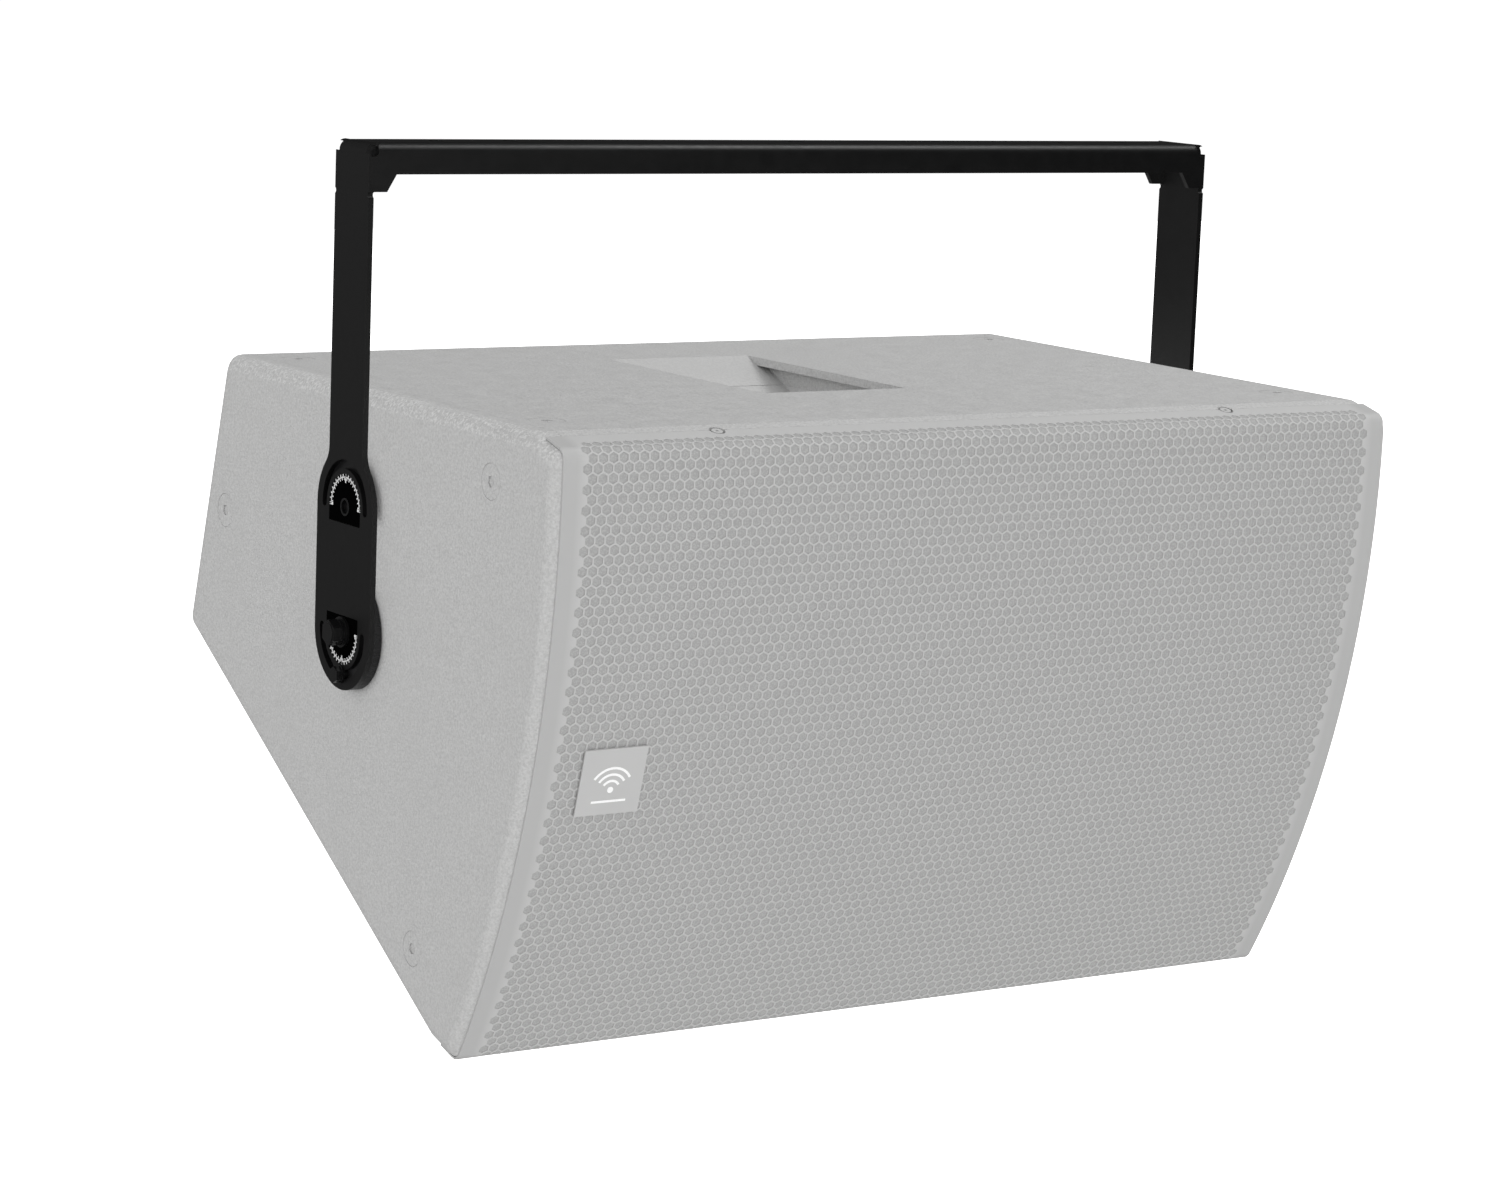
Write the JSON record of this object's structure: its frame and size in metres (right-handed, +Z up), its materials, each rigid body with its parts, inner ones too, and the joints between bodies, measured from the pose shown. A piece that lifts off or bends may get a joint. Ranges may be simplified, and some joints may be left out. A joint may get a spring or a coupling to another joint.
{
  "type": "line array speaker",
  "caption": "Wedge-shaped constant-curvature array loudspeaker with a curved perforated grille, hung in a U-yoke that sets its pitch on side pivots.",
  "frame": {"origin": "centre of the yoke's middle hanging hole, at the top face of its crossbar", "axes": "+Z up out of the hanging hole, -Y out of the grille, +X across the cabinet"},
  "size_m": [0.7322, 0.528, 0.6003],
  "materials": {
    "yoke_coat": "satin black powder coat",
    "scale_print": "matt black label with a printed white scale",
    "cabinet_paint": "pale grey textured paint on plywood, fine orange peel",
    "birch_ply": "birch plywood",
    "grille_coat": "pale grey powder-coated perforated steel",
    "grille_foam": "open-cell reticulated foam, pale grey to match the grille",
    "badge_face": null,
    "bare_steel": "zinc-plated steel",
    "rubber": "matt black rubber",
    "black_steel": "blackened zinc-plated steel",
    "cast_aluminium": "black-painted cast aluminium",
    "treated_cloth": "doped cloth surround",
    "spider_cloth": "resin-stiffened woven cloth",
    "cone_paper": "coated paper cone",
    "coil_former": "glass-fibre coil former",
    "copper": "enamelled copper wire",
    "ferrite": "ferrite ring",
    "horn_plastic": "glass-filled black plastic",
    "diaphragm_metal": "thin formed metal dome",
    "circuit_board": "glass-epoxy circuit board",
    "capacitor_film": "wrapped film capacitors",
    "resistor_ceramic": "ceramic power resistors",
    "brass": "turned brass",
    "socket_plastic": "moulded black sockets",
    "cable_jacket": "rubber-jacketed speaker cable",
    "damping_foam": "acoustic wadding"
  },
  "bodies": {
    "yoke": {"yoke": "yoke_coat", "angle_scales": "scale_print"},
    "cabinet": {"side_panel_left": "cabinet_paint", "side_panel_right": "cabinet_paint", "top_panel": "cabinet_paint", "bottom_panel": "cabinet_paint", "rear_panel": "cabinet_paint", "baffle": "birch_ply", "brace": "birch_ply", "handle_cup": "cabinet_paint", "grille": "grille_coat", "grille_foam": "grille_foam", "grille_screws": "grille_coat", "badge": "badge_face", "rigging_plates": "bare_steel", "rigging_inserts": "bare_steel", "blanking_screws": "cabinet_paint", "pivot_pads": "rubber", "pivot_spacers": "black_steel", "pivot_washers": "black_steel", "pivot_lock_washers": "black_steel", "pivot_bolts": "black_steel", "index_washers": "black_steel", "index_bolts": "black_steel", "woofer_basket": "cast_aluminium", "woofer_gasket": "rubber", "woofer_surround": "treated_cloth", "woofer_spider": "spider_cloth", "woofer_top_plate": "bare_steel", "woofer_magnet": "ferrite", "woofer_back_plate": "bare_steel", "woofer_screws": "black_steel", "waveguide": "horn_plastic", "waveguide_screws": "black_steel", "hf_pole_plate": "bare_steel", "hf_magnet": "ferrite", "hf_top_plate": "bare_steel", "hf_rear_cover": "horn_plastic", "hf_bolts": "bare_steel", "port_tubes": "horn_plastic", "crossover_board": "circuit_board", "crossover_inductors": "copper", "crossover_capacitors": "capacitor_film", "crossover_resistors": "resistor_ceramic", "crossover_standoffs": "brass", "connector_plate": "black_steel", "connector_gasket": "rubber", "connector_sockets": "socket_plastic", "connector_screws": "black_steel", "wiring": "cable_jacket", "damping_lining": "damping_foam"},
    "woofer_cone": {"woofer_cone": "cone_paper", "woofer_dust_cap": "cone_paper", "woofer_coil_former": "coil_former", "woofer_voice_coil": "copper"},
    "hf_diaphragm": {"hf_diaphragm": "diaphragm_metal", "hf_voice_coil": "copper"}
  },
  "joints": [
    {"name": "cabinet_pitch", "type": "hinge", "parent": "yoke", "child": "cabinet", "pos_m": [0, 0, -0.3337], "axis": [1, 0, 0], "range_deg": [-88, 88]},
    {"name": "woofer_travel", "type": "slide", "parent": "cabinet", "child": "woofer_cone", "axis": [0, -0.965, -0.2622], "range_m": [-0.008, 0.008], "stiffness_N_per_m": 3000, "deforming": ["woofer_surround", "woofer_spider"]},
    {"name": "hf_travel", "type": "slide", "parent": "cabinet", "child": "hf_diaphragm", "axis": [0, -0.965, -0.2622], "range_m": [-0.0005, 0.0005], "stiffness_N_per_m": 20000}
  ]
}
